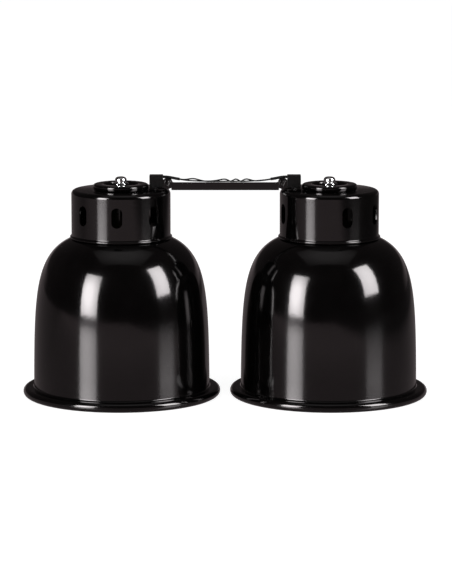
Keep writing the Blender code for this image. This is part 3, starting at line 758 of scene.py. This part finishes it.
def make_bracket(side, sign):
    """Base plate with two ears for the hinge."""
    half = [(BASE_IN, EAR_OUT), (OUTLET_IN, EAR_OUT)]
    half += [(OUTLET_IN, BASE_HALF_WIDTH), (BASE_OUT, BASE_HALF_WIDTH)]
    outline = [(x, -y) for x, y in half] + list(reversed(half))
    corners = [(sign * x, y, BASE_LOW) for x, y in outline]
    made = extrude(side + "_bracket", corners, (0, 0, BRACKET_SHEET), [BLACK])
    ear = [(BASE_IN, EAR_LOW), (PIN_X + EAR_R, EAR_LOW), (PIN_X + EAR_R, PIN_Z + EAR_SQUARE)]
    ear += arc(PIN_X, PIN_Z, EAR_R, EAR_SQUARE_END, 180, 25)
    ear.append((PIN_X - EAR_R, BASE_TOP))
    for y in (-1, 1):
        low, high = sorted((y * EAR_IN, y * EAR_OUT))
        cheek = prism(side + "_cheek", [(sign * x, z) for x, z in ear], low, high, [BLACK])
        boolean(made, cheek, "UNION")
    smooth(made.data, SHARP_FLAT)
    soften(made, BRACKET_ROUND, 2)
    dress(made, side + "_lamp", "black_paint", side + "_hinge_bracket")


def make_rivets(side, sign):
    """Two rivets that hold the bracket to the cap."""
    head = arc(0, OUTLET_LOW - RIVET_SINK, RIVET_DOME_R, 90, 24, 8)
    head[0] = (0.0, head[0][1])
    tail = UNDER_CAP - RIVET_TAIL
    points = head + [(RIVET_HEAD_R, OUTLET_LOW), (RIVET_R, OUTLET_LOW), (RIVET_R, UNDER_CAP),
                     (RIVET_HEAD_R, UNDER_CAP), (RIVET_HEAD_R, tail), (0.0, tail)]
    for letter, y in (("a", -RIVET_Y), ("b", RIVET_Y)):
        name = side + "_bracket_rivet_head_" + letter
        made = lathe(name, points, TURNED_STEPS, [BLACK], (sign * RIVET_X, y, 0))
        dress(made, side + "_lamp", "black_paint", side + "_bracket_rivet_" + letter)


def make_hinge_screw(side, sign):
    """Flat-headed screw through the ears, with a slot for the driver."""
    seat = EAR_OUT + GAP
    end = -seat - PIN_TAIL
    rim = PIN_HEAD - PIN_HEAD_ROUND
    points = [(0.0, seat + PIN_HEAD)]
    points += arc(PIN_HEAD_R - PIN_HEAD_ROUND, seat + rim, PIN_HEAD_ROUND, 90, 0, 5)
    points += [(PIN_HEAD_R, seat), (PIN_R, seat), (PIN_R, end + PIN_CHAMFER)]
    points += [(PIN_R - PIN_CHAMFER, end), (0.0, end)]
    made = lathe(side + "_hinge_pin_screw", points, TURNED_STEPS, [BLACK], (sign * PIN_X, 0, PIN_Z),
                 turn=QUARTER_TURN)
    place = along_y(sign * PIN_X, -seat - DRIVE_OUT, PIN_Z)
    groove = holes(side + "_drive", [(place, DRIVE_R, DRIVE_LENGTH, DRIVE_STRETCH, DRIVE_SIDES)])
    boolean(made, groove, "DIFFERENCE")
    dress(made, side + "_lamp", "black_paint", side + "_hinge_screw")


def make_outlet(side, sign):
    """Moulded block that the lead comes out of."""
    block = [(OUTLET_FACE, OUTLET_LOW), (OUTLET_OUT, OUTLET_LOW),
             (OUTLET_OUT, OUTLET_TOP), (OUTLET_FACE, OUTLET_TOP)]
    outline = [(sign * x, z) for x, z in block]
    made = prism(side + "_outlet_block", outline, -OUTLET_HALF_WIDTH, OUTLET_HALF_WIDTH, [MOULDED])
    soften(made, OUTLET_ROUND)
    dress(made, side + "_lamp", "moulded_black", side + "_cable_outlet")


def make_sleeve(side, sign):
    """Insulating sleeve that bends over the hinge."""
    start_x, start_z = OUTLET_IN - SLEEVE_TUCK, SLEEVE_Z
    end_x, end_z = TWIST_HALF - SLEEVE_LAP, TWIST_Z + TWIST_RISE
    path = []
    for i in range(SLEEVE_STEPS + 1):
        share = i / SLEEVE_STEPS
        x = start_x + (end_x - start_x) * share
        z = start_z + (end_z - start_z) * ease(share) + SLEEVE_BOW * math.sin(math.pi * share)
        path.append((sign * x, 0.0, z))
    made = tube(side + "_bent_sleeve", path, SLEEVE_R, WIRE)
    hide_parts(side + "_lead_sleeve")
    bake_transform(made)


def make_bulb(side, cx):
    """Opal globe, drawn as one envelope that goes down to the axis and back up inside."""
    neck = [(BULB_THROAT_R + out, z) for out, z in BULB_NECK]
    profile = [(x, 0.0, z) for x, z in neck + arc(0, BULB_MIDDLE, BULB_R, 24, -90, 12)]
    outer = [(max(x, 0.0), z) for x, _, z in smooth_path(profile, 5)]
    outer[-1] = (0.0, BULB_LOW)
    inner = [(BULB_THROAT_R - BULB_WALL, BULB_THROAT_TOP)]
    for r, z in outer[1:-1]:
        lift = BULB_WALL if z < BULB_MIDDLE else 0.0
        inner.append((max(r - BULB_WALL, BULB_CORE), z + lift))
    points = outer + [(0.0, BULB_LOW + BULB_WALL)] + list(reversed(inner))
    made = lathe(side + "_opal_globe", points, BULB_STEPS, [OPAL], (cx, 0, 0), sharp=SHARP_ROUND)
    dress(made, side + "_bulb", "glass", side + "_bulb_globe")


def twisted_path(phase):
    """One of two wires that lie on the bar and hump over each other, most at the middle."""
    path = []
    for i in range(WIRE_STEPS + 1):
        share = i / WIRE_STEPS
        along = 2.0 * share - 1.0
        sway = TWIST_UNEVEN * math.sin(2 * math.pi * TWIST_WAVES * share) * (1.0 - along * along)
        turn = 2 * math.pi * TWIST_TURNS * ease(share) + sway + phase
        hump = TWIST_HUMP * max(0.0, math.sin(turn)) ** TWIST_HUMP_POWER
        lift = hump + TWIST_RISE * along ** TWIST_RISE_POWER
        path.append((TWIST_HALF * along, TWIST_SIDE * math.cos(turn), TWIST_Z + lift))
    return path


def bar_end(sign):
    """Outline of one end of the bar: a step under the hinge eye and a slope behind it."""
    points = [(PIN_X - BAR_STEP, BAR_BOTTOM), (PIN_X - BAR_STEP, PIN_Z - EYE_R - GAP)]
    points += arc(PIN_X, PIN_Z, EYE_R, -90, EYE_END, 33)
    points.append((PIN_X - BAR_STEP - BAR_SLOPE, BAR_TOP))
    return [(sign * x, z) for x, z in points]


def make_bar():
    """Flat strip with a hinge eye at each end, and the two twisted wires on it."""
    outline = bar_end(1) + list(reversed(bar_end(-1)))
    bar = prism("link_strip", outline, -BAR_HALF_WIDTH, BAR_HALF_WIDTH, [BLACK])
    cuts = []
    for sign in SIDES.values():
        cuts.append((along_y(sign * PIN_X, 0, PIN_Z), PIN_R + GAP, EAR_OUT * 4, 0, HOLE_SIDES))
    boolean(bar, holes("strip_pin_holes", cuts), "DIFFERENCE")
    smooth(bar.data, SHARP_FLAT)
    soften(bar, BAR_ROUND)
    dress(bar, "bar", "black_paint", "link_bar")
    for letter, phase in (("a", 0.0), ("b", math.pi)):
        made = tube("twisted_wire_" + letter, twisted_path(phase), WIRE_R, WIRE)
        dress(made, "bar", "wire_insulation", "link_wire_" + letter)


for side, sign in SIDES.items():
    centre_x = sign * LAMP_X
    make_shade(side, centre_x)
    make_cap(side, centre_x)
    make_disc(side, centre_x)
    make_nut(side, centre_x)
    make_bracket(side, sign)
    make_rivets(side, sign)
    make_hinge_screw(side, sign)
    make_outlet(side, sign)
    make_sleeve(side, sign)
    make_bulb(side, centre_x)
make_bar()

# solids that stay as they are take the detailed surfaces
# the socket body takes the porcelain with painted shade
KEPT = {"socket_body": PORCELAIN_PAINTED_SHADE, "screw_shell": BRASS, "centre_contact": BRASS, "bulb_cap": BRASS,
        "stud": ZINC, "spacer": ZINC, "socket_strap": ZINC, "lock_nut": ZINC, "socket_screw": ZINC,
        "shade_rivet": ZINC, "hinge_nut": BLACK, "gland": MOULDED, "live_wire": WIRE,
        "neutral_wire": WIRE}
for name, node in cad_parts.items():
    for key, surface in KEPT.items():
        if key in name:
            node.data.materials.clear()
            node.data.materials.append(surface)
            for poly in node.data.polygons:
                poly.material_index = 0


def light(name, azimuth, elevation, distance, width, height, level, fade=None):
    """A soft box aimed at the object: one with a fade only shows in gloss, one without only lights."""
    lamp = bpy.data.lights.new(name, "AREA")
    lamp.shape = "RECTANGLE"
    lamp.size = width
    lamp.size_y = height
    lamp.energy = level * math.pi * width * height
    made = bpy.data.objects.new(name, lamp)
    a = math.radians(azimuth)
    e = math.radians(elevation)
    way = Vector((math.sin(a) * math.cos(e), -math.cos(a) * math.cos(e), math.sin(e)))
    made.location = Vector(BOX_AIM) + way * distance
    made.rotation_euler = way.to_track_quat("Z", "Y").to_euler()
    made.visible_diffuse = fade is None
    made.visible_glossy = fade is not None
    bpy.context.scene.collection.objects.link(made)
    if fade:
        fade_edges(lamp, *fade)


def fade_edges(lamp, across, up, edge):
    """A soft box is brightest round one spot and falls to a level at its edges."""
    lamp.use_nodes = True
    n = Nodes(lamp.node_tree)
    away = n.node("ShaderNodeVectorMath", operation="DISTANCE")
    n.join(n.node("ShaderNodeNewGeometry").outputs["Parametric"], away.inputs[0])
    n.join((across, up, 0.0), away.inputs[1])
    strength = n.spread(away.outputs["Value"], BOX_FADE, BOX_MIDDLE, edge)
    n.join(strength, n.tree.nodes["Emission"].inputs["Strength"])


def make_floor():
    """Pale table: white to the camera but for the shadow; in reflections a painted warm glow, brightest
    in front and dimmer behind and to the sides.
    """
    s = Surface("studio_floor", Base_Color=grey(FLOOR_SHEEN), Roughness=0.27, IOR=1.7)
    path = s.node("ShaderNodeLightPath").outputs
    place = s.split(s.node("ShaderNodeNewGeometry").outputs["Position"])
    # painted light: to glossy rays the floor glows, a painted pool of light in front that fades behind
    # and to the sides
    behind = s.spread(place["Y"], FLOOR_BEHIND_Y, FLOOR_IN_GLOSS, FLOOR_BEHIND)
    aside = s.spread(place["X"], FLOOR_ASIDE_X, 1.0, FLOOR_ASIDE)
    mirrored = s.sums("MULTIPLY", path["Is Glossy Ray"], s.sums("MULTIPLY", behind, aside))
    seen = s.sums("MAXIMUM", path["Is Camera Ray"], path["Is Transmission Ray"])
    glow = s.node("ShaderNodeEmission")
    s.join(s.sums("MULTIPLY_ADD", seen, FLOOR_WHITE, mirrored), glow.inputs["Strength"])
    s.join(s.mix(path["Is Glossy Ray"], WHITE, WARM), glow.inputs["Color"])
    plain = s.node("ShaderNodeBsdfDiffuse", Color=grey(FLOOR_GREY))
    pick = s.node("ShaderNodeMixShader")
    s.join(path["Is Camera Ray"], pick.inputs["Fac"])
    s.join(s.shader.outputs["BSDF"], pick.inputs[1])
    s.join(plain.outputs["BSDF"], pick.inputs[2])
    total = s.node("ShaderNodeAddShader")
    s.join(pick.outputs["Shader"], total.inputs[0])
    s.join(glow.outputs["Emission"], total.inputs[1])
    s.join(total.outputs["Shader"], s.tree.nodes["Material Output"].inputs["Surface"])
    shape = bmesh.new()
    bmesh.ops.create_grid(shape, x_segments=1, y_segments=1, size=FLOOR_SIZE)
    floor = finish_mesh("studio_floor", shape, [s.made])


def make_world():
    """White to the camera; in gloss a low white backdrop behind and a dim room elsewhere."""
    world = bpy.data.worlds.new("studio")
    bpy.context.scene.world = world
    world.use_nodes = True
    n = Nodes(world.node_tree)
    path = n.node("ShaderNodeLightPath").outputs
    place = n.split(n.node("ShaderNodeTexCoord").outputs["Generated"])
    drop = n.sums("MULTIPLY", n.spread(place["Y"], BACKDROP_Y), n.spread(place["Z"], BACKDROP_Z))
    mirrored = n.spread(drop, (0.0, 1.0), ROOM, BACKDROP)
    shiny = n.sums("MAXIMUM", path["Is Glossy Ray"], path["Is Transmission Ray"])
    level = n.mix(path["Is Camera Ray"], n.mix(shiny, AMBIENT, mirrored), 1.0)
    back = n.tree.nodes["Background"]
    n.join(n.mix(path["Is Glossy Ray"], WHITE, WARM), back.inputs["Color"])
    n.join(level, back.inputs["Strength"])


def make_camera():
    """Long lens, slightly above the object."""
    camera = bpy.data.cameras.new("camera")
    camera.sensor_fit = "VERTICAL"
    camera.sensor_height = CAMERA_SENSOR
    camera.lens = CAMERA_LENS
    eye = bpy.data.objects.new("camera", camera)
    eye.location = CAMERA_PLACE
    aim = Vector(CAMERA_AIM) - eye.location
    eye.rotation_euler = aim.to_track_quat("-Z", "Y").to_euler()
    bpy.context.scene.collection.objects.link(eye)
    bpy.context.scene.camera = eye


make_floor()
make_world()
light("left_box", azimuth=-44, elevation=17.1, distance=1.6, width=0.64, height=0.985, level=20.0,
      fade=(0.42, 0.38, 0.4))
light("right_box", azimuth=61, elevation=27.8, distance=1.6, width=0.62, height=1.04, level=15.0,
      fade=(0.5, 0.5, 0.9))
light("top_box", azimuth=0, elevation=86, distance=1.8, width=1.7, height=1.6, level=0.27,
      fade=(0.5, 0.5, 0.05))
light("left_fill", azimuth=-40, elevation=45, distance=1.8, width=1.4, height=1.4, level=1.6)
light("right_fill", azimuth=50, elevation=50, distance=1.8, width=1.4, height=1.4, level=1.6)
make_camera()
bpy.context.scene.view_settings.view_transform = "Standard"

bpy.context.view_layer.update()
